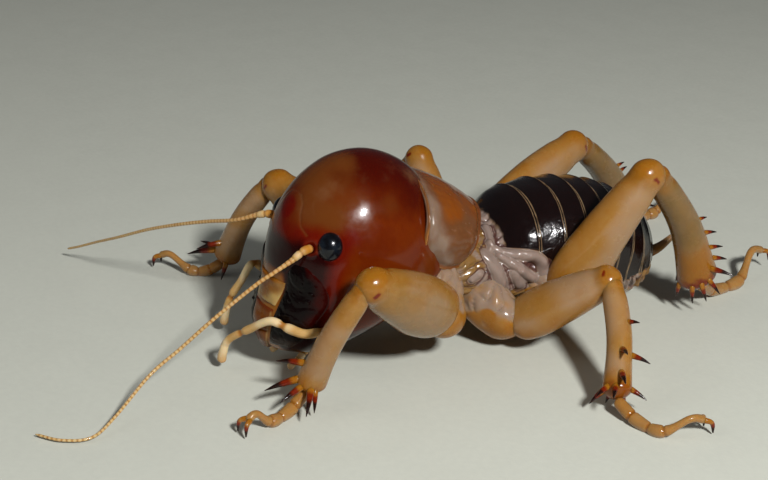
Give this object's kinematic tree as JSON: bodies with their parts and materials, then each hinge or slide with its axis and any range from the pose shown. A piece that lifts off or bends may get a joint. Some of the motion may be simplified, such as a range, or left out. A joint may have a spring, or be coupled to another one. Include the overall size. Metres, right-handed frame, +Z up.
{
  "type": "jerusalem cricket model",
  "caption": "Life-size still model of a Jerusalem cricket, a large-headed wingless ground cricket with banded abdomen and spined legs, standing on its feet.",
  "frame": {"origin": "middle of the bounding box, on the floor that the feet stand on", "axes": "+X to the animal's left, +Y towards its tail, so that its head faces -Y, +Z up"},
  "size_m": [0.0556, 0.078, 0.0194],
  "materials": {
    "shell": "gloss",
    "dark": "gloss",
    "eye": "gloss",
    "cream": "satin",
    "pronotum": "gloss",
    "thorax": "satin",
    "abdomen": "gloss",
    "leg": "gloss",
    "feeler": "satin"
  },
  "bodies": {
    "root": {"head": "shell", "labrum": "shell", "clypeus": "cream", "pronotum": "pronotum", "prothorax": "thorax", "mesothorax": "thorax", "metathorax": "thorax", "abdomen": "abdomen", "eye_left": "eye", "mandible_left": "dark", "palp_left": "cream", "labial_palp_left": "cream", "cercus_left": "leg", "antenna_base_left": "feeler", "antenna_inner_left": "feeler", "antenna_outer_left": "feeler", "coxa_fore_left": "leg", "femur_fore_left": "leg", "tibia_fore_left": "leg", "tarsus_fore_left": "leg", "coxa_mid_left": "leg", "femur_mid_left": "leg", "tibia_mid_left": "leg", "tarsus_mid_left": "leg", "coxa_hind_left": "leg", "femur_hind_left": "leg", "tibia_hind_left": "leg", "tarsus_hind_left": "leg", "eye_right": "eye", "mandible_right": "dark", "palp_right": "cream", "labial_palp_right": "cream", "cercus_right": "leg", "antenna_base_right": "feeler", "antenna_inner_right": "feeler", "antenna_outer_right": "feeler", "coxa_fore_right": "leg", "femur_fore_right": "leg", "tibia_fore_right": "leg", "tarsus_fore_right": "leg", "coxa_mid_right": "leg", "femur_mid_right": "leg", "tibia_mid_right": "leg", "tarsus_mid_right": "leg", "coxa_hind_right": "leg", "femur_hind_right": "leg", "tibia_hind_right": "leg", "tarsus_hind_right": "leg"}
  },
  "joints": []
}
